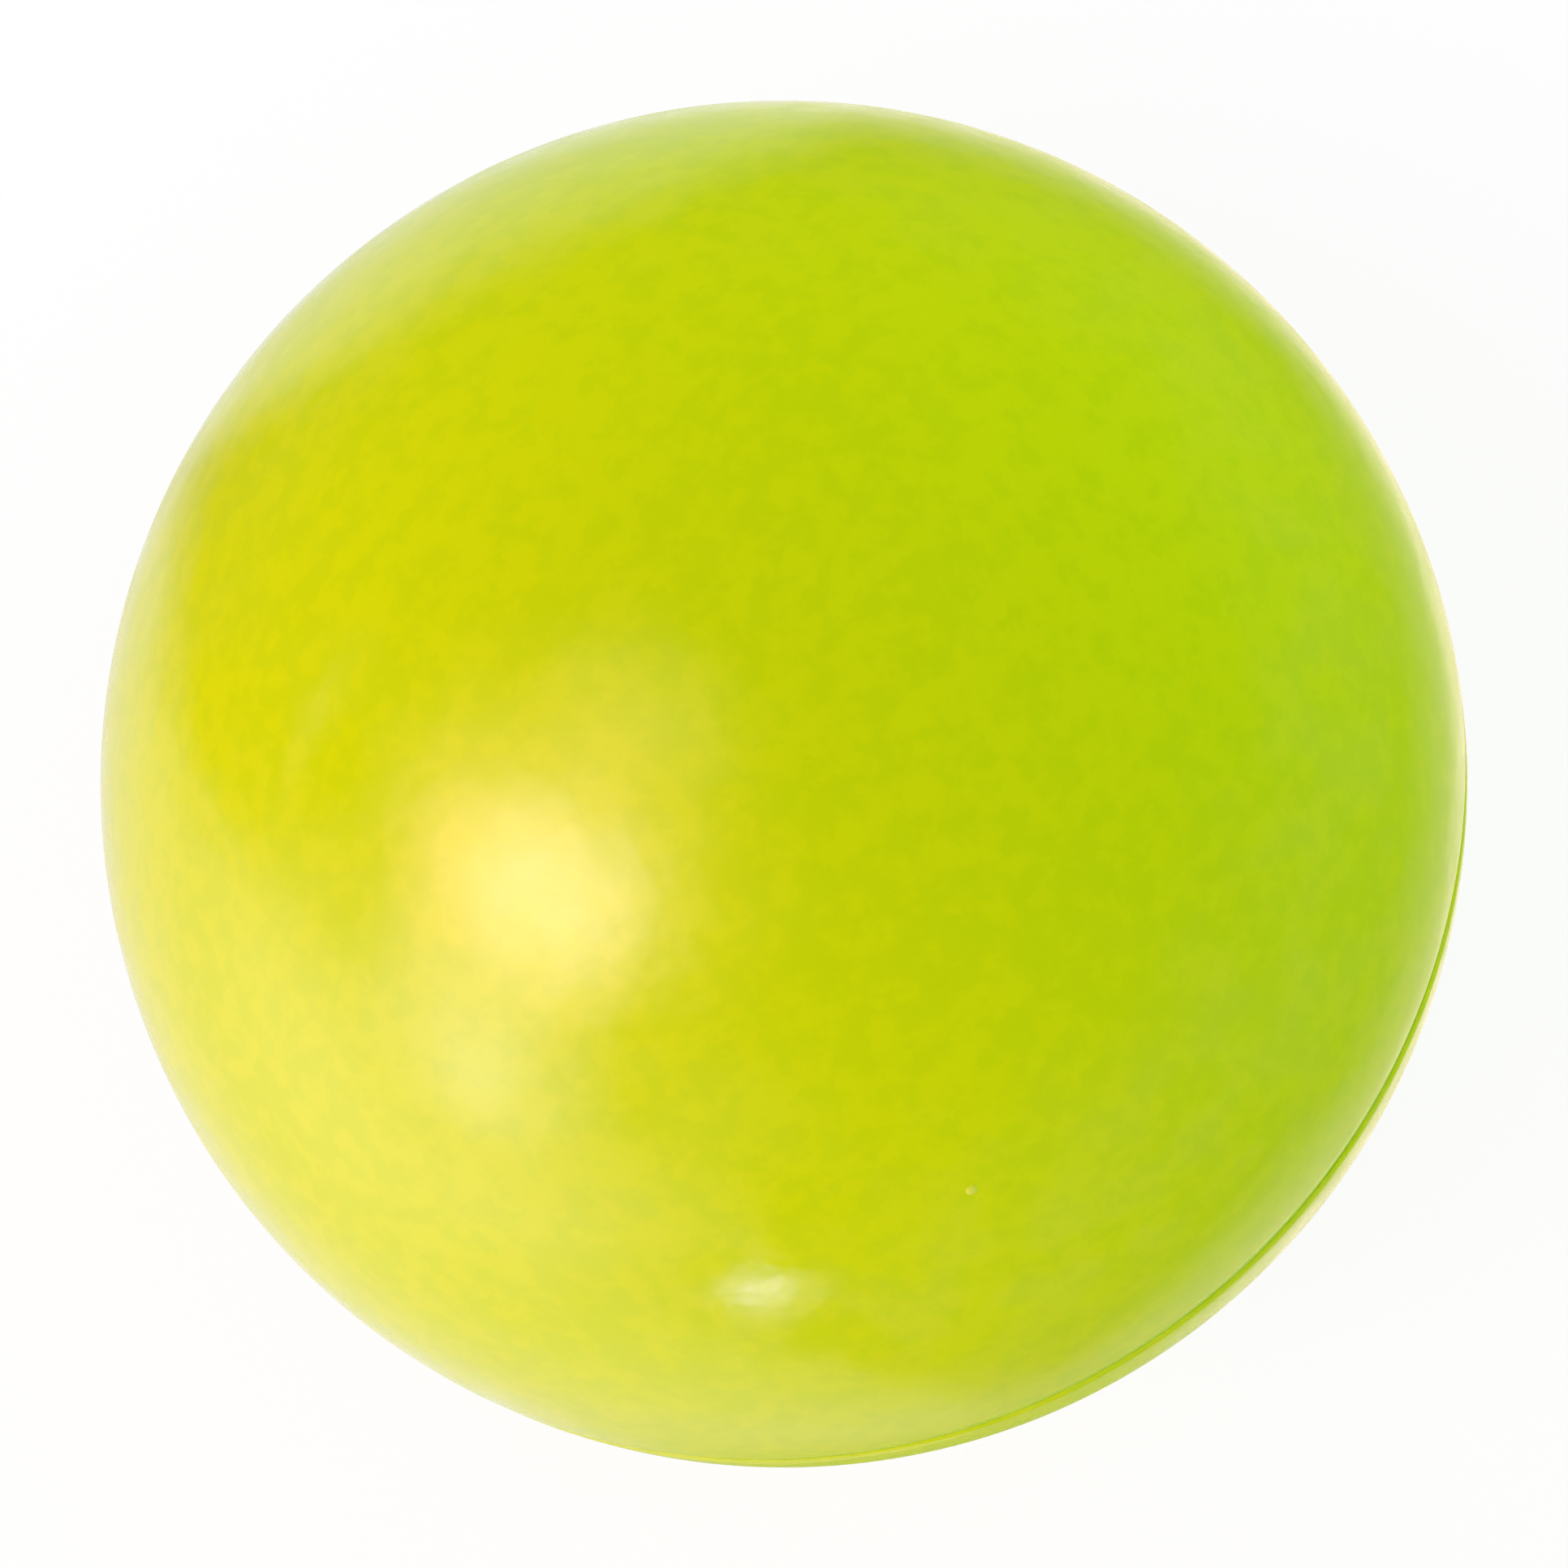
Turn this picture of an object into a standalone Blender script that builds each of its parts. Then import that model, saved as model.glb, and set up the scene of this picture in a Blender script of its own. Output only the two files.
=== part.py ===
"""Field hockey ball: two welded plastic half covers over a cork-and-rubber core.

Every piece is turned about Z, which is the axis of the mould that made the halves. The halves part at z = 0:
a spigot under the upper half enters a socket in the lower half, and a bead of weld fills the groove round the
outside. Lengths are in metres and the origin is the centre of the ball.
"""

import math

import bmesh
import bpy

# The ball and its cover
BALL_DIAMETER = 0.0730
COVER_WALL = 0.0063
FIT_GAP = 0.0003

# The groove round the seam, its rounded lips and the bead that fills it
GROOVE_WIDTH = 0.0015
GROOVE_DEPTH = 0.0017
LIP_RADIUS = 0.00035
BEAD_RECESS = 0.0004
BEAD_CROWN = 0.0001

# The spigot that centres one half on the other
SPIGOT_WALL = 0.0015
SPIGOT_HEIGHT = 0.0022
SPIGOT_CHAMFER = 0.0003

# The flash rib that the core's own mould leaves at its equator
RIB_WIDTH = 0.0014
RIB_HEIGHT = 0.0005
RIB_CHAMFER = 0.0003

# Facets
TURN_STEPS = 64
OUTSIDE_STEPS = 15
INSIDE_STEPS = 9
LIP_STEPS = 3
CROWN_STEPS = 4
SHARP_ANGLE = math.radians(35)
WELD_DISTANCE = 1e-7

# Finishes: linear colour, roughness and metallic value
COVER_FINISH = ((0.52, 0.65, 0.01, 1.0), 0.28, 0.0)
BEAD_FINISH = ((0.26, 0.42, 0.004, 1.0), 0.40, 0.0)
CORE_FINISH = ((0.27, 0.15, 0.07, 1.0), 0.85, 0.0)

# Radii and heights that follow from the sizes above
BALL_RADIUS = BALL_DIAMETER / 2
CAVITY_RADIUS = BALL_RADIUS - COVER_WALL
CORE_RADIUS = CAVITY_RADIUS - FIT_GAP
FACE_HEIGHT = FIT_GAP / 2
GROOVE_HALF = GROOVE_WIDTH / 2
GROOVE_FLOOR = BALL_RADIUS - GROOVE_DEPTH
RIB_HALF = RIB_WIDTH / 2
RIB_RADIUS = CORE_RADIUS + RIB_HEIGHT
REBATE_HALF = RIB_HALF + FIT_GAP
REBATE_RADIUS = RIB_RADIUS + FIT_GAP
SPIGOT_MIDDLE = (GROOVE_FLOOR + REBATE_RADIUS) / 2


def clear_scene():
    """Remove every object that the scene starts with."""
    for item in list(bpy.data.objects):
        bpy.data.objects.remove(item, do_unlink=True)


def arc(centre, radius, start, end, steps):
    """Points (radius, height) along an arc, both ends included; angles count up from the equator."""
    middle_radius, middle_height = centre
    angles = [start + (end - start) * step / steps for step in range(steps + 1)]
    return [
        (middle_radius + radius * math.cos(angle), middle_height + radius * math.sin(angle))
        for angle in angles
    ]


def pole_to_equator(radius, lowest, steps):
    """Arc of a sphere about the origin, from the pole on the axis down to the height given."""
    points = arc((0.0, 0.0), radius, math.pi / 2, math.asin(lowest / radius), steps)
    return [(0.0, radius)] + points[1:]


def mirrored(profile):
    """The same profile below the parting plane."""
    return [(radius, -height) for radius, height in profile]


def lip_arc():
    """Outer edge of a half cover: an arc tangent to the ball and to the wall of the groove."""
    middle_height = GROOVE_HALF + LIP_RADIUS
    middle_radius = math.sqrt((BALL_RADIUS - LIP_RADIUS) ** 2 - middle_height**2)
    start = math.atan2(middle_height, middle_radius)
    return arc((middle_radius, middle_height), LIP_RADIUS, start, -math.pi / 2, LIP_STEPS)


def cover_outside():
    """Outside of a half cover, from the pole over the lip to the inner corner of the groove."""
    lip = lip_arc()
    lip_top = lip[0][1]
    skin = pole_to_equator(BALL_RADIUS, lip_top, OUTSIDE_STEPS)
    corner = [(GROOVE_FLOOR, GROOVE_HALF), (GROOVE_FLOOR, FACE_HEIGHT)]
    return skin[:-1] + lip + corner


def cover_inside():
    """Inside of a half cover, from the rebate for the core's rib up to the pole of the cavity."""
    rebate = [(REBATE_RADIUS, FACE_HEIGHT), (REBATE_RADIUS, REBATE_HALF)]
    cavity = pole_to_equator(CAVITY_RADIUS, REBATE_HALF, INSIDE_STEPS)
    return rebate + cavity[::-1]


def joint_steps(half_width, root, tip, chamfer):
    """Section of a ring midway in the wall, from its outer root to its inner root, with its tip corners cut."""
    outer = SPIGOT_MIDDLE + half_width
    inner = SPIGOT_MIDDLE - half_width
    return [
        (outer, root),
        (outer, tip + chamfer),
        (outer - chamfer, tip),
        (inner + chamfer, tip),
        (inner, tip + chamfer),
        (inner, root),
    ]


def upper_cover_profile():
    """Half section of the upper cover, with the spigot that stands below its face."""
    spigot = joint_steps(SPIGOT_WALL / 2, FACE_HEIGHT, -SPIGOT_HEIGHT, SPIGOT_CHAMFER)
    return cover_outside() + spigot + cover_inside()


def lower_cover_profile():
    """Half section of the lower cover, with the socket that takes the spigot with clearance all round."""
    half_width = SPIGOT_WALL / 2 + FIT_GAP
    socket = joint_steps(half_width, -FACE_HEIGHT, -SPIGOT_HEIGHT - FIT_GAP, SPIGOT_CHAMFER)
    return mirrored(cover_outside()) + socket + mirrored(cover_inside())


def seam_bead_profile():
    """Closed section of the bead: flat sides clear of the groove, and a crown that stays below the ball."""
    half_width = GROOVE_HALF - FIT_GAP
    inner = GROOVE_FLOOR + FIT_GAP
    outer = BALL_RADIUS - BEAD_RECESS
    shoulder = outer - BEAD_CROWN
    crown_radius = (half_width**2 + BEAD_CROWN**2) / (2 * BEAD_CROWN)
    reach = math.asin(half_width / crown_radius)
    crown = arc((outer - crown_radius, 0.0), crown_radius, reach, -reach, CROWN_STEPS)
    sides = [(shoulder, -half_width), (inner, -half_width), (inner, half_width)]
    return crown[:-1] + sides


def core_profile():
    """Half section of the core: a ball with a chamfered rib round its equator."""
    skin = pole_to_equator(CORE_RADIUS, RIB_HALF, INSIDE_STEPS)
    rib_edge = [(RIB_RADIUS - RIB_CHAMFER, RIB_HALF), (RIB_RADIUS, RIB_HALF - RIB_CHAMFER)]
    upper = skin + rib_edge
    return upper + mirrored(upper)[::-1]


def turned_mesh(name, profile, closed):
    """Turn a section of (radius, height) points once about Z into one closed skin."""
    mesh = bpy.data.meshes.new(name)
    shape = bmesh.new()
    verts = [shape.verts.new((radius, 0.0, height)) for radius, height in profile]
    edges = [shape.edges.new(pair) for pair in zip(verts, verts[1:])]
    if closed:
        edges.append(shape.edges.new((verts[-1], verts[0])))
    bmesh.ops.spin(
        shape,
        geom=verts + edges,
        cent=(0.0, 0.0, 0.0),
        axis=(0.0, 0.0, 1.0),
        angle=2 * math.pi,
        steps=TURN_STEPS,
        use_merge=True,
    )
    bmesh.ops.remove_doubles(shape, verts=shape.verts, dist=WELD_DISTANCE)
    bmesh.ops.recalc_face_normals(shape, faces=shape.faces)
    shape.to_mesh(mesh)
    shape.free()
    mesh.shade_smooth()
    mesh.set_sharp_from_angle(angle=SHARP_ANGLE)
    return mesh


def finish(name, values):
    """A Principled material with the colour, roughness and metallic value given."""
    colour, roughness, metallic = values
    material = bpy.data.materials.new(name)
    material.use_nodes = True
    shader = material.node_tree.nodes["Principled BSDF"]
    shader.inputs["Base Color"].default_value = colour
    shader.inputs["Roughness"].default_value = roughness
    shader.inputs["Metallic"].default_value = metallic
    material.diffuse_color = colour
    return material


def place(name, mesh, material, parent):
    """Put a turned piece on the ball's centre, with its finish."""
    mesh.materials.append(material)
    piece = bpy.data.objects.new(name, mesh)
    bpy.context.scene.collection.objects.link(piece)
    piece.parent = parent
    return piece


def build():
    """Make the four pieces about one centre."""
    clear_scene()
    centre = bpy.data.objects.new("ball_centre", None)
    bpy.context.scene.collection.objects.link(centre)

    cover = finish("cover_plastic", COVER_FINISH)
    bead = finish("weld_plastic", BEAD_FINISH)
    cork = finish("cork_composition", CORE_FINISH)

    place("upper_cover", turned_mesh("upper_cover", upper_cover_profile(), False), cover, centre)
    place("lower_cover", turned_mesh("lower_cover", lower_cover_profile(), False), cover, centre)
    place("seam_bead", turned_mesh("seam_bead", seam_bead_profile(), True), bead, centre)
    place("core", turned_mesh("core", core_profile(), False), cork, centre)


build()
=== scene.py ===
"""Looks of the field hockey ball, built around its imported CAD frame.

The half covers, the weld bead and the core are turned again at a finer step, in the places that the
frame gives, and dressed in moulded plastic, weld plastic and cork composition. Lengths are in metres,
angles in degrees.
"""

import logging
import math
from dataclasses import dataclass
from enum import Enum
from typing import Optional

import bmesh
import bpy
from mathutils import Matrix, Vector, noise


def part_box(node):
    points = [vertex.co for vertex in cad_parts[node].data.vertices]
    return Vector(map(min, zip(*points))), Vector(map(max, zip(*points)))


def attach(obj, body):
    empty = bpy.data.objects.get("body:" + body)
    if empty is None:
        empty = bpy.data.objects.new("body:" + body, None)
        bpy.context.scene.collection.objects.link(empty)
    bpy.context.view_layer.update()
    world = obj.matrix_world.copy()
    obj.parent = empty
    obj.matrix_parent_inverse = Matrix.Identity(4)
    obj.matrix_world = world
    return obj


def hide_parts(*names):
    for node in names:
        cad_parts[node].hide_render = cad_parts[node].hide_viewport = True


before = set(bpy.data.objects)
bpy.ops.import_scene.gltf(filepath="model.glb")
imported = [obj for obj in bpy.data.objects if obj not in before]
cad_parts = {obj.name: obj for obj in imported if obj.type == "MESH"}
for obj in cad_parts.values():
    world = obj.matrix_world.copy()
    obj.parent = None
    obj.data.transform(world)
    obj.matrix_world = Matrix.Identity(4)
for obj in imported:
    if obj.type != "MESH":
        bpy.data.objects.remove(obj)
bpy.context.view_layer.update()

LOG = logging.getLogger("field_hockey_ball")
BODY = "root"
PHOTO_SIDE_PX = 1932
SHARP_ANGLE = math.radians(38)
WELD_DISTANCE = 1e-7
WHITE = (1.0, 1.0, 1.0, 1.0)
TURN_AXIS = Vector((0.0, 0.0, 1.0))
SECTION_AXIS = Vector((0.0, 1.0, 0.0))
MIX_COLOURS = (6, 7)
MIX_RESULT = 2
SIDEWAYS = 90.0
ELLIPSE_SHARE = math.pi / 4
FACE_MIDDLE = (0.5, 0.5, 0.0)
FACE_EDGE = 0.5


class Half(Enum):
    """The two halves of the cover, with the side of the parting plane on which each lies."""

    UPPER = 1.0
    LOWER = -1.0


class Reach(Enum):
    """What a lamp lights: (diffuse light, reflections)."""

    ALL = (True, True)
    FILL = (True, False)
    GLINT = (False, True)


# Sizes, read from the frame


@dataclass(frozen=True)
class BallSizes:
    """Main radii and heights of the ball, as its CAD frame has them."""

    ball_radius: float
    fit_gap: float
    bead_half: float
    core_radius: float
    rib_radius: float
    spigot_height: float
    rib_half: float = 0.0007

    @classmethod
    def from_frame(cls) -> "BallSizes":
        """Read the sizes from the boxes of the frame's nodes.

        Returns:
            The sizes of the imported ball.
        """
        upper_low, upper_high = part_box("upper_cover")
        _, lower_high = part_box("lower_cover")
        _, bead_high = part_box("seam_bead")
        _, core_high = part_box("core")
        fit_gap = -2.0 * lower_high.z
        return cls(
            ball_radius=upper_high.z,
            fit_gap=fit_gap,
            bead_half=bead_high.z,
            core_radius=core_high.z,
            rib_radius=core_high.x,
            spigot_height=-upper_low.z,
        )


@dataclass(frozen=True)
class SeamLip:
    """Rounded lip of a half cover, which falls from the ball's skin to the edge of the weld bead."""

    sizes: BallSizes
    radius: float = 0.0014
    turn: float = 28.0
    weld_gap: float = 0.00002
    groove_depth: float = 0.0017

    @property
    def edge(self) -> float:
        """Height of the lip's end over the parting plane."""
        return self.sizes.bead_half + self.weld_gap

    @property
    def start(self) -> float:
        """Latitude in radians at which the lip leaves the skin."""
        fall = math.radians(self.turn)
        along = self.sizes.ball_radius - self.radius + self.radius * math.cos(fall)
        across = self.radius * math.sin(fall)
        return math.asin(self.edge / math.hypot(along, across)) + math.atan2(across, along)

    @property
    def centre(self) -> tuple[float, float]:
        """Radius and height of the lip's centre."""
        reach = self.sizes.ball_radius - self.radius
        return reach * math.cos(self.start), reach * math.sin(self.start)

    @property
    def end_radius(self) -> float:
        """Distance of the lip's end from the axis."""
        return self.centre[0] + self.radius * math.cos(self.start - math.radians(self.turn))

    @property
    def groove_floor(self) -> float:
        """Radius of the groove's floor."""
        return self.sizes.ball_radius - self.groove_depth


# Turned meshes


class SectionPen:
    """Draws a half section in the XZ plane and turns it about Z, as on a lathe."""

    def __init__(self, radius: float, height: float) -> None:
        """Set the pen down.

        Args:
            radius: Distance of the first point from the axis.
            height: Height of the first point.
        """
        self.shape = bmesh.new()
        self.first = self.shape.verts.new((radius, 0.0, height))
        self.tip = self.first

    def line_to(self, radius: float, height: float) -> None:
        """Draw a straight line.

        Args:
            radius: Distance of its end from the axis.
            height: Height of its end.
        """
        end = self.shape.verts.new((radius, 0.0, height))
        self.shape.edges.new((self.tip, end))
        self.tip = end

    def arc_about(self, radius: float, height: float, angle: float, steps: int) -> None:
        """Swing the pen about a centre.

        Args:
            radius: Distance of the centre from the axis.
            height: Height of the centre.
            angle: Swing in radians, positive from the pole towards the equator.
            steps: Number of straight steps that stand for the arc.
        """
        swept = bmesh.ops.spin(
            self.shape,
            geom=[self.tip],
            cent=(radius, 0.0, height),
            axis=SECTION_AXIS,
            angle=angle,
            steps=steps,
        )
        self.tip = next(item for item in swept["geom_last"] if isinstance(item, bmesh.types.BMVert))

    def close(self) -> None:
        """Draw a line back to the first point."""
        self.shape.edges.new((self.tip, self.first))
        self.tip = self.first

    def turn(self, steps: int) -> bmesh.types.BMesh:
        """Turn the section once about the axis.

        Args:
            steps: Number of steps in the turn.

        Returns:
            The closed skin, with its faces pointing outwards.
        """
        bmesh.ops.spin(
            self.shape,
            geom=list(self.shape.verts) + list(self.shape.edges),
            cent=(0.0, 0.0, 0.0),
            axis=TURN_AXIS,
            angle=2.0 * math.pi,
            steps=steps,
            use_merge=True,
        )
        bmesh.ops.remove_doubles(self.shape, verts=self.shape.verts, dist=WELD_DISTANCE)
        bmesh.ops.recalc_face_normals(self.shape, faces=self.shape.faces)
        return self.shape


def turned_piece(name: str, shape: bmesh.types.BMesh, material: bpy.types.Material) -> bpy.types.Object:
    """Make a shaded, dressed object of a finished shape.

    Args:
        name: Name of the piece.
        shape: The shape, which is freed.
        material: Finish of the whole piece.

    Returns:
        The object, linked to the scene at the origin.
    """
    mesh = bpy.data.meshes.new(name)
    shape.to_mesh(mesh)
    shape.free()
    mesh.shade_smooth()
    mesh.set_sharp_from_angle(angle=SHARP_ANGLE)
    mesh.materials.append(material)
    piece = bpy.data.objects.new(name, mesh)
    bpy.context.scene.collection.objects.link(piece)
    return piece


def mount_piece(piece: bpy.types.Object, node: str) -> None:
    """Fix a piece to the ball in place of a CAD node.

    Args:
        piece: The finished piece.
        node: CAD node that it stands for.
    """
    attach(piece, BODY)
    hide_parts(node)
    LOG.info("%s: %d faces, stands for %s", piece.name, len(piece.data.polygons), node)


# Node trees


class NodeDesk:
    """Adds and links the nodes of one tree."""

    def __init__(self, tree: bpy.types.NodeTree) -> None:
        """Take a tree to work on.

        Args:
            tree: Node tree of a material, world or group.
        """
        self.tree = tree

    def add(self, kind: str, values: Optional[dict] = None, **settings: object) -> bpy.types.Node:
        """Add a node.

        Args:
            kind: Type name of the node.
            values: Input values, by name or place of the socket.
            **settings: Properties of the node.

        Returns:
            The new node.
        """
        node = self.tree.nodes.new(kind)
        for key, value in settings.items():
            setattr(node, key, value)
        for key, value in (values or {}).items():
            node.inputs[key].default_value = value
        return node

    def link(self, source: bpy.types.NodeSocket, target: bpy.types.NodeSocket) -> None:
        """Join an output to an input."""
        self.tree.links.new(source, target)

    def math(self, operation: str, *terms: object) -> bpy.types.NodeSocket:
        """Add a Math node.

        Args:
            operation: Name of the operation.
            *terms: Sockets to link, or plain numbers.

        Returns:
            The value socket.
        """
        node = self.add("ShaderNodeMath", operation=operation)
        for place, term in enumerate(terms):
            if isinstance(term, bpy.types.NodeSocket):
                self.link(term, node.inputs[place])
            else:
                node.inputs[place].default_value = term
        return node.outputs[0]

    def dot(self, vector: bpy.types.NodeSocket, direction: Vector) -> bpy.types.NodeSocket:
        """Measure a vector along a fixed direction.

        Args:
            vector: Vector to measure.
            direction: The direction.

        Returns:
            The dot product.
        """
        node = self.add("ShaderNodeVectorMath", {1: direction}, operation="DOT_PRODUCT")
        self.link(vector, node.inputs[0])
        return node.outputs["Value"]

    def noise(
        self, place: bpy.types.NodeSocket, scale: float, detail: float, roughness: float = 0.5
    ) -> bpy.types.NodeSocket:
        """Add a Noise node.

        Args:
            place: Coordinates to read.
            scale: Waves per metre.
            detail: Number of octaves.
            roughness: Share of each finer octave.

        Returns:
            The noise value.
        """
        node = self.add(
            "ShaderNodeTexNoise", {"Scale": scale, "Detail": detail, "Roughness": roughness}
        )
        self.link(place, node.inputs["Vector"])
        return node.outputs["Fac"]

    def ramp(
        self, value: bpy.types.NodeSocket, low: float, high: float, out_low: object, out_high: object
    ) -> bpy.types.NodeSocket:
        """Map a span of a value smoothly onto another.

        Args:
            value: Value to map.
            low: Start of the span.
            high: End of the span.
            out_low: Number or socket given at the start.
            out_high: Number or socket given at the end.

        Returns:
            The mapped value.
        """
        node = self.add(
            "ShaderNodeMapRange",
            {"From Min": low, "From Max": high},
            interpolation_type="SMOOTHSTEP",
        )
        self.link(value, node.inputs["Value"])
        for name, out in (("To Min", out_low), ("To Max", out_high)):
            if isinstance(out, bpy.types.NodeSocket):
                self.link(out, node.inputs[name])
            else:
                node.inputs[name].default_value = out
        return node.outputs["Result"]

    def blend(
        self, share: bpy.types.NodeSocket, first: object, second: object, mode: str = "MIX"
    ) -> bpy.types.NodeSocket:
        """Blend two colours.

        Args:
            share: Share of the second colour.
            first: Colour or socket.
            second: Colour or socket.
            mode: Blend type.

        Returns:
            The blended colour.
        """
        node = self.add("ShaderNodeMix", data_type="RGBA", blend_type=mode)
        self.link(share, node.inputs[0])
        for place, colour in zip(MIX_COLOURS, (first, second)):
            if isinstance(colour, bpy.types.NodeSocket):
                self.link(colour, node.inputs[place])
            else:
                node.inputs[place].default_value = colour
        return node.outputs[MIX_RESULT]


class MouldedSkin:
    """Node group of a moulded skin: mottled pigment, hazy gloss, slow waves and dimples."""

    NAME = "moulded_skin"
    CLOUD_SCALE = 52.0
    CLOUD_DETAIL = 3.0
    CLOUD_SHARE = 0.3
    MOTTLE_SCALE = 650.0
    MOTTLE_DETAIL = 3.0
    MOTTLE_ROUGHNESS = 0.6
    PIGMENT_SPAN = (0.42, 0.58)
    HAZE_SCALE = 300.0
    HAZE_DETAIL = 5.0
    HAZE_ROUGHNESS = 0.62
    HAZE_SPAN = (0.36, 0.64)
    WAVE_SCALE = 95.0
    WAVE_DETAIL = 2.0
    DIMPLE_SCALE = 330.0
    DIMPLE_SHARE = 0.4

    @classmethod
    def tree(cls) -> bpy.types.NodeTree:
        """Build the group once.

        Returns:
            The group's node tree.
        """
        found = bpy.data.node_groups.get(cls.NAME)
        if found:
            return found
        tree = bpy.data.node_groups.new(cls.NAME, "ShaderNodeTree")
        for name, kind in (
            ("Place", "NodeSocketVector"),
            ("Pigment", "NodeSocketColor"),
            ("Deep Pigment", "NodeSocketColor"),
            ("Gloss", "NodeSocketFloat"),
            ("Haze", "NodeSocketFloat"),
        ):
            tree.interface.new_socket(name, in_out="INPUT", socket_type=kind)
        for name, kind in (
            ("Color", "NodeSocketColor"),
            ("Roughness", "NodeSocketFloat"),
            ("Height", "NodeSocketFloat"),
        ):
            tree.interface.new_socket(name, in_out="OUTPUT", socket_type=kind)
        cls.wire(NodeDesk(tree))
        return tree

    @classmethod
    def wire(cls, desk: NodeDesk) -> None:
        """Lay out the group's nodes.

        Args:
            desk: Desk of the group's tree.
        """
        given = desk.add("NodeGroupInput").outputs
        result = desk.add("NodeGroupOutput").inputs
        place = given["Place"]

        cloud = desk.noise(place, cls.CLOUD_SCALE, cls.CLOUD_DETAIL)
        cloud = desk.math("MULTIPLY", cloud, cls.CLOUD_SHARE)
        mottle = desk.noise(place, cls.MOTTLE_SCALE, cls.MOTTLE_DETAIL, cls.MOTTLE_ROUGHNESS)
        mottle = desk.math("MULTIPLY", mottle, 1.0 - cls.CLOUD_SHARE)
        share = desk.ramp(desk.math("ADD", cloud, mottle), *cls.PIGMENT_SPAN, 0.0, 1.0)
        desk.link(desk.blend(share, given["Pigment"], given["Deep Pigment"]), result["Color"])

        haze = desk.noise(place, cls.HAZE_SCALE, cls.HAZE_DETAIL, cls.HAZE_ROUGHNESS)
        desk.link(desk.ramp(haze, *cls.HAZE_SPAN, given["Gloss"], given["Haze"]), result["Roughness"])

        wave = desk.noise(place, cls.WAVE_SCALE, cls.WAVE_DETAIL)
        dimple = desk.noise(place, cls.DIMPLE_SCALE, cls.WAVE_DETAIL)
        dimple = desk.math("MULTIPLY", dimple, cls.DIMPLE_SHARE)
        desk.link(desk.math("ADD", wave, dimple), result["Height"])


# Finishes


@dataclass(frozen=True)
class MouldedPlastic:
    """Glossy moulded plastic with clouded pigment and a hazy shine."""

    name: str
    pigment: tuple
    deep_pigment: tuple
    gloss: float
    haze: float
    wave_height: float

    def material(self) -> bpy.types.Material:
        """Make the finish.

        Returns:
            A new material.
        """
        material = bpy.data.materials.new(self.name)
        material.use_nodes = True
        material.diffuse_color = (*self.pigment, 1.0)
        desk = NodeDesk(material.node_tree)
        shader = material.node_tree.nodes["Principled BSDF"]
        place = desk.add("ShaderNodeTexCoord").outputs["Object"]
        skin = desk.add("ShaderNodeGroup", node_tree=MouldedSkin.tree())
        desk.link(place, skin.inputs["Place"])
        skin.inputs["Pigment"].default_value = (*self.pigment, 1.0)
        skin.inputs["Deep Pigment"].default_value = (*self.deep_pigment, 1.0)
        skin.inputs["Gloss"].default_value = self.gloss
        skin.inputs["Haze"].default_value = self.haze
        bump = desk.add("ShaderNodeBump", {"Strength": 1.0, "Distance": self.wave_height})
        desk.link(skin.outputs["Height"], bump.inputs["Height"])
        desk.link(skin.outputs["Color"], shader.inputs["Base Color"])
        desk.link(skin.outputs["Roughness"], shader.inputs["Roughness"])
        desk.link(bump.outputs["Normal"], shader.inputs["Normal"])
        return material


@dataclass(frozen=True)
class CorkComposition:
    """Cork granules bound in dark rubber."""

    name: str = "cork_composition"
    pale_cork: tuple = (0.36, 0.21, 0.10)
    dark_cork: tuple = (0.16, 0.08, 0.035)
    rubber: tuple = (0.035, 0.026, 0.020)
    granules_per_metre: float = 420.0
    binder_share: float = 0.10
    binder_roughness: float = 0.7
    cork_roughness: float = 0.92
    granule_height: float = 0.00025

    def material(self) -> bpy.types.Material:
        """Make the finish.

        Returns:
            A new material.
        """
        material = bpy.data.materials.new(self.name)
        material.use_nodes = True
        material.diffuse_color = (*self.pale_cork, 1.0)
        desk = NodeDesk(material.node_tree)
        shader = material.node_tree.nodes["Principled BSDF"]
        place = desk.add("ShaderNodeTexCoord").outputs["Object"]
        granule = desk.add("ShaderNodeTexVoronoi", {"Scale": self.granules_per_metre})
        edge = desk.add(
            "ShaderNodeTexVoronoi", {"Scale": self.granules_per_metre}, feature="DISTANCE_TO_EDGE"
        )
        desk.link(place, granule.inputs["Vector"])
        desk.link(place, edge.inputs["Vector"])
        tone = desk.add("ShaderNodeSeparateColor")
        desk.link(granule.outputs["Color"], tone.inputs["Color"])
        cork = desk.blend(tone.outputs["Red"], (*self.dark_cork, 1.0), (*self.pale_cork, 1.0))
        solid = desk.ramp(edge.outputs["Distance"], 0.0, self.binder_share, 0.0, 1.0)
        desk.link(desk.blend(solid, (*self.rubber, 1.0), cork), shader.inputs["Base Color"])
        roughness = desk.ramp(solid, 0.0, 1.0, self.binder_roughness, self.cork_roughness)
        desk.link(roughness, shader.inputs["Roughness"])
        bump = desk.add("ShaderNodeBump", {"Strength": 1.0, "Distance": self.granule_height})
        desk.link(solid, bump.inputs["Height"])
        desk.link(bump.outputs["Normal"], shader.inputs["Normal"])
        return material


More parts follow.
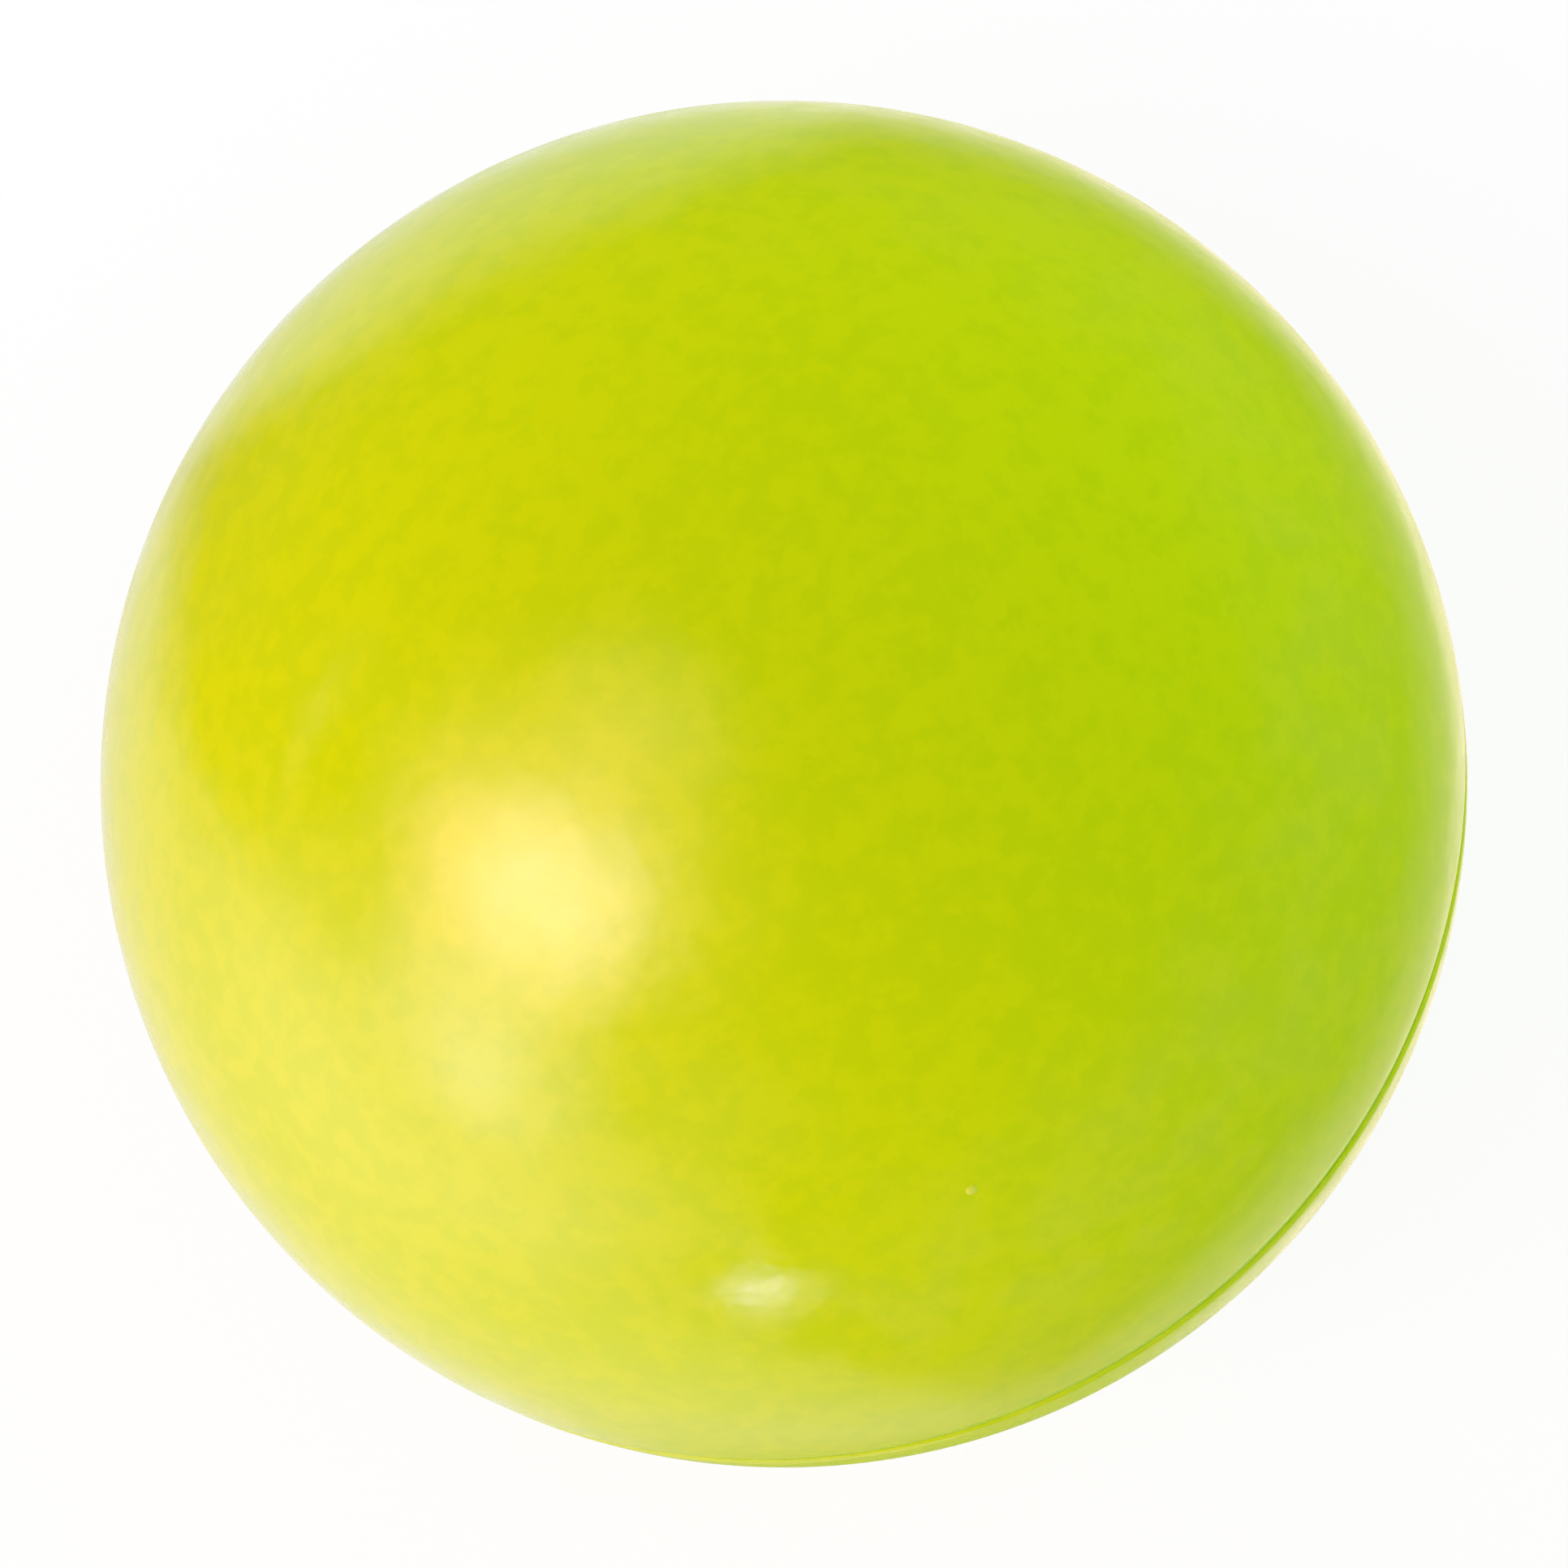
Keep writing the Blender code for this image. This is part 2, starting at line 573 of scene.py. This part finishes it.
COVER_PLASTIC = MouldedPlastic(
    name="cover_plastic",
    pigment=(0.563, 0.661, 0.0005),
    deep_pigment=(0.516, 0.639, 0.0005),
    gloss=0.10,
    haze=0.21,
    wave_height=0.00012,
)
# The pip's paler pigment is partly its own pale plastic and partly a painted glint.
PIP_PLASTIC_AND_GLINT = MouldedPlastic(
    name="pip_plastic_and_painted_glint",
    pigment=(0.63, 0.69, 0.05),
    deep_pigment=(0.61, 0.68, 0.05),
    gloss=0.3,
    haze=0.4,
    wave_height=0.00002,
)
WELD_PLASTIC = MouldedPlastic(
    name="weld_plastic",
    pigment=(0.46, 0.67, 0.006),
    deep_pigment=(0.43, 0.65, 0.006),
    gloss=0.40,
    haze=0.55,
    wave_height=0.00015,
)
CORK_COMPOSITION = CorkComposition()


# The ball's pieces


@dataclass
class HalfCover:
    """One half of the cover, with its lip of the groove, its joint ring and its cavity."""

    sizes: BallSizes
    half: Half
    name: str
    node: str
    spigot_wall: float = 0.0015
    chamfer: float = 0.0003
    outside_steps: int = 96
    inside_steps: int = 40
    lip_steps: int = 10
    turn_steps: int = 288
    pip_latitude: float = 33.1
    pip_longitude: float = -97.8
    pip_margin: float = 0.00002
    pip_radius: float = 0.00027
    pip_cuts: int = 3
    pip_rings: int = 3
    pip_ring_width: float = 0.00006
    pip_height: float = 0.00009
    pip_slot: int = 1

    def build(self) -> bpy.types.Object:
        """Turn, dress and mount the half.

        Returns:
            The finished piece.
        """
        pen = SectionPen(0.0, self.sizes.ball_radius)
        self.draw_outside(pen)
        self.draw_joint(pen)
        self.draw_inside(pen)
        shape = pen.turn(self.turn_steps)
        if self.half is Half.UPPER:
            self.raise_pip(shape)
        else:
            bmesh.ops.scale(shape, verts=shape.verts, vec=(1.0, 1.0, self.half.value))
            bmesh.ops.recalc_face_normals(shape, faces=shape.faces)
        piece = turned_piece(self.name, shape, COVER_PLASTIC.material())
        if self.half is Half.UPPER:
            # The pip's faces take the finish whose pale pigment is partly a painted glint.
            piece.data.materials.append(PIP_PLASTIC_AND_GLINT.material())
        mount_piece(piece, self.node)
        return piece

    def draw_outside(self, pen: SectionPen) -> None:
        """Draw the skin from the pole, round the lip and down into the groove.

        Args:
            pen: Pen at the outer pole.
        """
        lip = SeamLip(self.sizes)
        pen.arc_about(0.0, 0.0, math.pi / 2 - lip.start, self.outside_steps)
        pen.arc_about(*lip.centre, math.radians(lip.turn), self.lip_steps)
        pen.line_to(lip.groove_floor, lip.edge)
        pen.line_to(lip.groove_floor, self.sizes.fit_gap / 2)

    def draw_joint(self, pen: SectionPen) -> None:
        """Draw the ring of the joint: a spigot on the upper half, and its socket in the lower half.

        Args:
            pen: Pen on the parting face, at the groove.
        """
        sizes = self.sizes
        face = sizes.fit_gap / 2
        rebate = sizes.rib_radius + sizes.fit_gap
        middle = (SeamLip(sizes).groove_floor + rebate) / 2
        is_socket = self.half is Half.LOWER
        half_wall = self.spigot_wall / 2 + (sizes.fit_gap if is_socket else 0.0)
        tip = sizes.spigot_height + sizes.fit_gap if is_socket else -sizes.spigot_height
        corner = tip + math.copysign(self.chamfer, face - tip)
        for radius, height in (
            (middle + half_wall, face),
            (middle + half_wall, corner),
            (middle + half_wall - self.chamfer, tip),
            (middle - half_wall + self.chamfer, tip),
            (middle - half_wall, corner),
            (middle - half_wall, face),
            (rebate, face),
        ):
            pen.line_to(radius, height)

    def draw_inside(self, pen: SectionPen) -> None:
        """Draw the rebate for the core's rib, and the cavity up to its pole.

        Args:
            pen: Pen on the parting face, at the rebate.
        """
        sizes = self.sizes
        cavity = sizes.core_radius + sizes.fit_gap
        rebate_half = sizes.rib_half + sizes.fit_gap
        pen.line_to(sizes.rib_radius + sizes.fit_gap, rebate_half)
        pen.line_to(math.sqrt(cavity**2 - rebate_half**2), rebate_half)
        rise = math.pi / 2 - math.asin(rebate_half / cavity)
        pen.arc_about(0.0, 0.0, -rise, self.inside_steps)

    def raise_pip(self, shape: bmesh.types.BMesh) -> None:
        """Raise the small moulding pip that stands on the skin.

        Args:
            shape: Skin of the half.
        """
        latitude = math.radians(self.pip_latitude)
        longitude = math.radians(self.pip_longitude)
        flat = math.cos(latitude)
        way = Vector((flat * math.cos(longitude), flat * math.sin(longitude), math.sin(latitude)))
        spot = way * self.sizes.ball_radius
        face = min(shape.faces, key=lambda one: (one.calc_center_median() - spot).length_squared)
        bmesh.ops.inset_individual(shape, faces=[face], thickness=self.pip_margin)
        bmesh.ops.bisect_edges(shape, edges=list(face.edges), cuts=self.pip_cuts)
        middle = face.calc_center_median()
        for vert in face.verts:
            vert.co = middle + (vert.co - middle).normalized() * self.pip_radius
        steps = self.pip_rings * (self.pip_rings + 1) / 2
        for ring in range(self.pip_rings, 0, -1):
            rise = self.pip_height * ring / steps
            raised = bmesh.ops.inset_individual(
                shape, faces=[face], thickness=self.pip_ring_width, depth=rise
            )
            for side in raised["faces"]:
                side.material_index = self.pip_slot
        face.material_index = self.pip_slot


@dataclass
class SeamBead:
    """The ring of weld that fills the groove, with a crown that ripples a little."""

    sizes: BallSizes
    name: str = "weld_bead"
    node: str = "seam_bead"
    sink: float = 0.00003
    crown: float = 0.00004
    ripple: float = 0.00002
    ripples_per_metre: float = 300.0
    crown_steps: int = 10
    turn_steps: int = 720

    def build(self) -> bpy.types.Object:
        """Turn, ripple, dress and mount the bead.

        Returns:
            The finished piece.
        """
        lip = SeamLip(self.sizes)
        half_width = self.sizes.bead_half
        inner = lip.groove_floor + self.sizes.fit_gap
        shoulder = lip.end_radius - self.sink
        crown_radius = (half_width**2 + self.crown**2) / (2 * self.crown)
        reach = math.asin(half_width / crown_radius)
        pen = SectionPen(shoulder, half_width)
        pen.arc_about(shoulder + self.crown - crown_radius, 0.0, 2 * reach, self.crown_steps)
        pen.line_to(inner, -half_width)
        pen.line_to(inner, half_width)
        pen.close()
        shape = pen.turn(self.turn_steps)
        self.roughen(shape, inner)
        piece = turned_piece(self.name, shape, WELD_PLASTIC.material())
        mount_piece(piece, self.node)
        return piece

    def roughen(self, shape: bmesh.types.BMesh, inner: float) -> None:
        """Let the crown sink and swell a little along the seam.

        Args:
            shape: The turned ring.
            inner: Radius of its inner wall, which stays round.
        """
        for vert in shape.verts:
            around = vert.co.xy
            if around.length > inner + self.crown:
                lift = noise.noise(vert.co * self.ripples_per_metre) * self.ripple
                vert.co.xy = around * (1.0 + lift / around.length)


@dataclass
class CorkCore:
    """The cork composition ball, with the flash rib of its mould at the equator."""

    sizes: BallSizes
    name: str = "cork_core"
    node: str = "core"
    rib_chamfer: float = 0.0003
    skin_steps: int = 72
    turn_steps: int = 192
    pit_depth: float = 0.00014

    def build(self) -> bpy.types.Object:
        """Turn, pit, dress and mount the core.

        Returns:
            The finished piece.
        """
        sizes = self.sizes
        edge = math.asin(sizes.rib_half / sizes.core_radius)
        pen = SectionPen(0.0, sizes.core_radius)
        pen.arc_about(0.0, 0.0, math.pi / 2 - edge, self.skin_steps)
        pen.line_to(sizes.rib_radius - self.rib_chamfer, sizes.rib_half)
        pen.line_to(sizes.rib_radius, sizes.rib_half - self.rib_chamfer)
        pen.line_to(sizes.rib_radius, self.rib_chamfer - sizes.rib_half)
        pen.line_to(sizes.rib_radius - self.rib_chamfer, -sizes.rib_half)
        pen.line_to(sizes.core_radius * math.cos(edge), -sizes.rib_half)
        pen.arc_about(0.0, 0.0, math.pi / 2 - edge, self.skin_steps)
        shape = pen.turn(self.turn_steps)
        for vert in shape.verts:
            nearest = noise.voronoi(vert.co * CORK_COMPOSITION.granules_per_metre)[0]
            vert.co *= 1.0 - self.pit_depth * min(nearest[0], 1.0) / sizes.core_radius
        piece = turned_piece(self.name, shape, CORK_COMPOSITION.material())
        mount_piece(piece, self.node)
        return piece


# The studio


@dataclass(frozen=True)
class PhotoCamera:
    """The photograph's camera: close above the ball, rolled so that the seam falls at the lower right."""

    ball_radius: float
    radii_away: float = 5.0
    elevation: float = 67.0
    roll: float = 37.0
    limb_px: float = 842.2
    sensor_mm: float = 36.0
    clip_radii: float = 0.1

    def axes(self) -> tuple[Vector, Vector, Vector]:
        """Give the camera's axes.

        Returns:
            The directions to the picture's right, to its top, and from the ball towards the camera.
        """
        lift = math.radians(self.elevation)
        roll = math.radians(self.roll)
        level = Vector((1.0, 0.0, 0.0))
        steep = Vector((0.0, math.sin(lift), math.cos(lift)))
        back = Vector((0.0, -math.cos(lift), math.sin(lift)))
        right = level * math.cos(roll) - steep * math.sin(roll)
        top = level * math.sin(roll) + steep * math.cos(roll)
        return right, top, back

    def way(self, turn: float, lean: float) -> Vector:
        """Give a direction from the ball as the picture sees it.

        Args:
            turn: Angle in the picture, counted from its right side towards its top.
            lean: Angle away from the camera.

        Returns:
            The direction.
        """
        right, top, back = self.axes()
        around, away = math.radians(turn), math.radians(lean)
        sideways = right * math.cos(around) + top * math.sin(around)
        return sideways * math.sin(away) + back * math.cos(away)

    def build(self) -> bpy.types.Object:
        """Make the camera and look through it.

        Returns:
            The camera object.
        """
        distance = self.radii_away * self.ball_radius
        limb_slope = math.tan(math.asin(1.0 / self.radii_away))
        half_frame_slope = limb_slope * (PHOTO_SIDE_PX / 2) / self.limb_px
        data = bpy.data.cameras.new("photo_camera")
        data.sensor_width = self.sensor_mm
        data.lens = self.sensor_mm / 2 / half_frame_slope
        data.clip_start = self.clip_radii * self.ball_radius
        right, top, back = self.axes()
        camera = bpy.data.objects.new("photo_camera", data)
        turned = Matrix((right, top, back)).transposed().to_4x4()
        camera.matrix_world = Matrix.Translation(back * distance) @ turned
        bpy.context.scene.collection.objects.link(camera)
        bpy.context.scene.camera = camera
        return camera


@dataclass(frozen=True)
class Softbox:
    """A soft lamp that faces the ball, placed as the picture sees it."""

    name: str
    turn: float
    lean: float
    radii_away: float
    width: float
    height: float
    colour: tuple
    radiance: float
    reach: Reach = Reach.ALL
    tilt: float = 0.0

    def build(self, camera: PhotoCamera) -> bpy.types.Object:
        """Hang the lamp.

        Args:
            camera: Camera whose picture the angles belong to.

        Returns:
            The lamp object.
        """
        unit = camera.ball_radius
        width, height = self.width * unit, self.height * unit
        data = bpy.data.lights.new(self.name, "AREA")
        data.shape = "ELLIPSE"
        data.size = width
        data.size_y = height
        data.color = self.colour
        data.energy = self.radiance * math.pi * width * height * ELLIPSE_SHARE
        lamp = bpy.data.objects.new(self.name, data)
        way = camera.way(self.turn, self.lean)
        lamp.location = way * self.radii_away * unit
        facing = way.to_track_quat("Z", "Y").to_matrix()
        lamp.rotation_euler = (facing @ Matrix.Rotation(math.radians(self.tilt), 3, "Z")).to_euler()
        lamp.visible_camera = False
        lamp.visible_diffuse, lamp.visible_glossy = self.reach.value
        data.cycles.use_multiple_importance_sampling = self.reach is not Reach.FILL
        if self.reach is not Reach.FILL:
            self.fade_edges(data)
        bpy.context.scene.collection.objects.link(lamp)
        return lamp

    def fade_edges(self, data: bpy.types.Light) -> None:
        """Let the lamp's face fade smoothly from its middle to its edge.

        Args:
            data: The lamp's data.
        """
        data.use_nodes = True
        desk = NodeDesk(data.node_tree)
        offset = desk.add("ShaderNodeVectorMath", operation="SUBTRACT")
        desk.link(desk.add("ShaderNodeTexCoord").outputs["UV"], offset.inputs[0])
        offset.inputs[1].default_value = FACE_MIDDLE
        reach = desk.add("ShaderNodeVectorMath", operation="LENGTH")
        desk.link(offset.outputs["Vector"], reach.inputs[0])
        fade = desk.ramp(reach.outputs["Value"], 0.0, FACE_EDGE, 1.0, 0.0)
        desk.link(fade, data.node_tree.nodes["Emission"].inputs["Strength"])


# Each lamp: name, turn, lean, distance, width and height in ball radii, colour, radiance, reach, tilt
SOFTBOXES = (
    Softbox("right_fill", 0, 70, 9, 11, 11, (0.70, 1.0, 1.0), 1.84, Reach.FILL),
    Softbox("top_fill", 90, 70, 9, 11, 11, (0.79, 1.0, 1.0), 1.51, Reach.FILL),
    Softbox("front_fill", 0, 5, 9, 6, 6, (0.68, 1.0, 1.0), 1.85, Reach.FILL),
    Softbox("key", -153.2, 37.1, 8, 6.0, 5.6, (1.0, 0.8, 0.95), 6.1),
    Softbox("key_left", -166.5, 49.6, 8, 5.0, 5.0, (1.0, 0.45, 0.5), 3.08),
    Softbox("halo", -160.5, 41.5, 8, 9.5, 9.0, (1.0, 0.57, 0.5), 2.86),
    Softbox("warm_glow", -161.5, 35.0, 8, 13.0, 12.0, (1.0, 0.4, 0.1), 3.6, Reach.GLINT),
    Softbox("window", -140.9, 60.3, 8, 7.0, 7.0, (1.0, 0.85, 1.0), 2.84),
    Softbox("window_low", -135.0, 66.3, 8, 3.6, 3.8, (1.0, 0.9, 1.0), 1.15),
    Softbox("veil", -143.6, 81.3, 8, 14.0, 12.0, (1.0, 0.82, 1.0), 1.07),
    Softbox("low_veil", -117.3, 74.4, 7, 8.0, 5.0, (1.0, 0.86, 1.0), 1.05),
    Softbox("haze", -105.5, 52.9, 8, 7.0, 6.0, (1.0, 0.9, 1.0), 0.27),
    Softbox("cloud", 158.0, 23.5, 8, 6.0, 5.0, (1.0, 0.63, 0.5), 1.64),
    Softbox("low_lamp", -92.8, 79.9, 5, 1.2, 0.95, (0.75, 0.65, 1.0), 7.8),
    Softbox("strip", 171.1, 75.6, 8, 1.0, 4.9, (1.0, 0.63, 0.5), 1.07, Reach.GLINT, 40.6),
)


def cosines(*angles: float) -> tuple:
    """Give the cosines of angles."""
    return tuple(math.cos(math.radians(angle)) for angle in angles)


@dataclass(frozen=True)
class BackdropLobe:
    """A side on which the white backdrop comes nearer to the camera, as the picture sees it."""

    turn: float
    half_width: float
    nearer: float


@dataclass(frozen=True)
class BackdropShade:
    """A tinted patch of the backdrop, behind the ball on one side."""

    turn: float
    half_width: float
    start: float
    full: float
    share: float
    tint: tuple


OWN_LIGHT = BackdropShade(
    turn=-78.0,
    half_width=38.0,
    start=130.0,
    full=156.0,
    share=0.9,
    tint=(0.48, 0.60, 0.07, 1.0),
)
WARM_LIGHT = BackdropShade(
    turn=5.0,
    half_width=115.0,
    start=118.0,
    full=148.0,
    share=1.0,
    tint=(1.36, 1.12, 0.94, 1.0),
)


@dataclass
class Studio:
    """Plain pale floor, soft lamps and a pale backdrop."""

    camera: PhotoCamera
    floor_radii: float = 20.0
    floor_segments: int = 128
    floor_colour: tuple = (0.86, 0.86, 0.86, 1.0)
    foot_share: float = 0.35
    foot_radii: tuple = (1.0, 1.28)
    white_share: float = 0.9
    white_radii: tuple = (1.3, 3.0)
    far_radii: tuple = (4.5, 10.0)
    far_white: float = 0.76
    floor_glow: float = 0.52
    contact_radii: float = 1.5
    room_tint: tuple = (1.0, 0.8, 0.05, 1.0)
    ambient: float = 0.02
    back_glow: float = 3.55
    back_start: float = 80.0
    back_full: float = 115.0
    dim_room: float = 0.05
    backdrop_start: float = 125.0
    backdrop_full: float = 180.0
    backdrop_level: float = 0.65
    backdrop_swing: float = 0.20
    backdrop_turn: float = 187.0
    # Each lobe: turn, half width, how much nearer
    backdrop_lobes: tuple = (
        BackdropLobe(117.0, 36.0, 0.42),
        BackdropLobe(187.0, 38.0, 0.28),
        BackdropLobe(232.0, 63.0, 0.82),
        BackdropLobe(302.0, 34.0, 0.10),
        BackdropLobe(344.0, 56.0, 0.16),
    )
    backdrop_shades: tuple = (WARM_LIGHT, OWN_LIGHT)
    behind_start: float = 138.0
    behind_full: float = 158.0
    behind_level: float = 0.86

    def build(self) -> None:
        """Set up the floor, the world, the lamps and the camera."""
        self.lay_floor()
        self.paint_world()
        for box in SOFTBOXES:
            box.build(self.camera)
        self.camera.build()
        bpy.context.scene.view_settings.view_transform = "Standard"

    def lay_floor(self) -> bpy.types.Object:
        """Lay the pale floor under the ball.

        Returns:
            The floor object.
        """
        unit = self.camera.ball_radius
        shape = bmesh.new()
        bmesh.ops.create_circle(
            shape, cap_ends=True, radius=self.floor_radii * unit, segments=self.floor_segments
        )
        bmesh.ops.translate(shape, verts=shape.verts, vec=TURN_AXIS * -unit)
        floor = turned_piece("studio_floor", shape, self.floor_paint())
        floor.visible_glossy = False
        return floor

    def floor_paint(self) -> bpy.types.Material:
        """Make the floor's paint: white to look at, shadowed at the ball's foot, and pale grey far off.

        It also sheds a soft glow on what stands on it.

        Returns:
            A new material.
        """
        material = bpy.data.materials.new("floor_paint")
        material.use_nodes = True
        material.cycles.emission_sampling = "NONE"
        material.node_tree.nodes.clear()
        desk = NodeDesk(material.node_tree)
        paint = desk.add("ShaderNodeBsdfDiffuse", {"Color": self.floor_colour})
        white = desk.add("ShaderNodeEmission")
        glow = desk.add("ShaderNodeEmission")
        away = desk.add("ShaderNodeVectorMath", operation="LENGTH")
        desk.link(desk.add("ShaderNodeTexCoord").outputs["Object"], away.inputs[0])
        unit = self.camera.ball_radius
        foot_start, foot_full = (radii * unit for radii in self.foot_radii)
        share = desk.ramp(away.outputs["Value"], foot_start, foot_full, self.foot_share, self.white_share)
        white_start, white_full = (radii * unit for radii in self.white_radii)
        share = desk.ramp(away.outputs["Value"], white_start, white_full, share, 1.0)
        far_start, far_full = (radii * unit for radii in self.far_radii)
        far = desk.ramp(away.outputs["Value"], far_start, far_full, 1.0, self.far_white)
        desk.link(far, white.inputs["Strength"])
        open_floor = desk.ramp(away.outputs["Value"], 0.0, self.contact_radii * unit, 0.0, self.floor_glow)
        path = desk.add("ShaderNodeLightPath").outputs
        desk.link(desk.math("MULTIPLY", path["Is Diffuse Ray"], open_floor), glow.inputs["Strength"])
        lit = desk.add("ShaderNodeAddShader")
        desk.link(paint.outputs[0], lit.inputs[0])
        desk.link(glow.outputs[0], lit.inputs[1])
        looked_at = desk.math("MAXIMUM", path["Is Camera Ray"], path["Is Transmission Ray"])
        mix = desk.add("ShaderNodeMixShader")
        desk.link(desk.math("MULTIPLY", looked_at, share), mix.inputs[0])
        desk.link(lit.outputs[0], mix.inputs[1])
        desk.link(white.outputs[0], mix.inputs[2])
        output = desk.add("ShaderNodeOutputMaterial")
        desk.link(mix.outputs[0], output.inputs["Surface"])
        return material

    def paint_world(self) -> None:
        """Give the world a pale backdrop, shaded in reflections, and a soft light from behind."""
        world = bpy.data.worlds.new("studio_world")
        bpy.context.scene.world = world
        world.use_nodes = True
        world.cycles.sampling_method = "NONE"
        world.node_tree.nodes.clear()
        desk = NodeDesk(world.node_tree)
        even = desk.add("ShaderNodeBackground", {"Color": self.room_tint})
        mirrored = desk.add("ShaderNodeBackground")
        white = desk.add("ShaderNodeBackground", {"Color": WHITE, "Strength": self.far_white})
        ray = desk.add("ShaderNodeTexCoord").outputs["Generated"]
        ahead = desk.dot(ray, self.camera.axes()[2])
        start, full = cosines(self.back_start, self.back_full)
        desk.link(desk.ramp(ahead, full, start, self.back_glow, self.ambient), even.inputs["Strength"])
        heading = self.heading(desk, ray, ahead)
        desk.link(self.backdrop_tint(desk, heading, ahead), mirrored.inputs["Color"])
        desk.link(self.backdrop(desk, heading, ahead), mirrored.inputs["Strength"])
        path = desk.add("ShaderNodeLightPath").outputs
        looked_at = desk.math("MAXIMUM", path["Is Camera Ray"], path["Is Transmission Ray"])
        unseen = desk.add("ShaderNodeMixShader")
        desk.link(path["Is Glossy Ray"], unseen.inputs[0])
        desk.link(even.outputs[0], unseen.inputs[1])
        desk.link(mirrored.outputs[0], unseen.inputs[2])
        mix = desk.add("ShaderNodeMixShader")
        desk.link(looked_at, mix.inputs[0])
        desk.link(unseen.outputs[0], mix.inputs[1])
        desk.link(white.outputs[0], mix.inputs[2])
        output = desk.add("ShaderNodeOutputWorld")
        desk.link(mix.outputs[0], output.inputs["Surface"])

    def heading(
        self, desk: NodeDesk, ray: bpy.types.NodeSocket, ahead: bpy.types.NodeSocket
    ) -> bpy.types.NodeSocket:
        """Work out which side of the picture a ray points to.

        Args:
            desk: Desk of the world's tree.
            ray: Direction of the ray.
            ahead: How far the ray turns towards the camera, as a cosine.

        Returns:
            The direction in the plane of the picture.
        """
        back = self.camera.axes()[2]
        along = desk.add("ShaderNodeVectorMath", {0: back}, operation="SCALE")
        desk.link(ahead, along.inputs["Scale"])
        aside = desk.add("ShaderNodeVectorMath", operation="SUBTRACT")
        desk.link(ray, aside.inputs[0])
        desk.link(along.outputs["Vector"], aside.inputs[1])
        heading = desk.add("ShaderNodeVectorMath", operation="NORMALIZE")
        desk.link(aside.outputs["Vector"], heading.inputs[0])
        return heading.outputs["Vector"]

    def backdrop_tint(
        self, desk: NodeDesk, heading: bpy.types.NodeSocket, ahead: bpy.types.NodeSocket
    ) -> bpy.types.NodeSocket:
        """Work out the backdrop's colour in reflections: white, with its tinted patches.

        Args:
            desk: Desk of the world's tree.
            heading: Side of the picture that the ray points to.
            ahead: How far the ray turns towards the camera, as a cosine.

        Returns:
            The colour in the direction of the ray.
        """
        colour = WHITE
        for shade in self.backdrop_shades:
            across = desk.dot(heading, self.camera.way(shade.turn, SIDEWAYS))
            (rim,) = cosines(shade.half_width)
            start, full = cosines(shade.start, shade.full)
            tinted = desk.ramp(across, rim, 1.0, 0.0, shade.share)
            tinted = desk.math("MULTIPLY", desk.ramp(ahead, full, start, 1.0, 0.0), tinted)
            colour = desk.blend(tinted, colour, shade.tint)
        return colour

    def backdrop(
        self, desk: NodeDesk, heading: bpy.types.NodeSocket, ahead: bpy.types.NodeSocket
    ) -> bpy.types.NodeSocket:
        """Work out the backdrop's brightness in reflections: dim in front of the ball, white behind it.

        Args:
            desk: Desk of the world's tree.
            heading: Side of the picture that the ray points to.
            ahead: How far the ray turns towards the camera, as a cosine.

        Returns:
            The brightness in the direction of the ray.
        """
        start, full = cosines(self.behind_start, self.behind_full)
        behind = desk.ramp(ahead, full, start, 1.0, 0.0)

        for lobe in self.backdrop_lobes:
            across = desk.dot(heading, self.camera.way(lobe.turn, SIDEWAYS))
            (rim,) = cosines(lobe.half_width)
            ahead = desk.math("SUBTRACT", ahead, desk.ramp(across, rim, 1.0, 0.0, lobe.nearer))
        start, full = cosines(self.backdrop_start, self.backdrop_full)
        shown = desk.ramp(ahead, full, start, 1.0, 0.0)

        across = desk.dot(heading, self.camera.way(self.backdrop_turn, SIDEWAYS))
        swing = desk.math("MULTIPLY", across, self.backdrop_swing)
        level = desk.ramp(behind, 0.0, 1.0, desk.math("ADD", swing, self.backdrop_level), self.behind_level)
        return desk.math("MAXIMUM", desk.math("MULTIPLY", shown, level), self.dim_room)


def main() -> None:
    """Build the ball's pieces and its studio, and log each piece's face count and the node it stands for.
    """
    logging.basicConfig(level=logging.INFO, format="%(name)s: %(message)s")
    sizes = BallSizes.from_frame()
    HalfCover(sizes, Half.UPPER, "cover_upper", "upper_cover").build()
    HalfCover(sizes, Half.LOWER, "cover_lower", "lower_cover").build()
    SeamBead(sizes).build()
    CorkCore(sizes).build()
    Studio(PhotoCamera(sizes.ball_radius)).build()


if __name__ == "__main__":
    main()
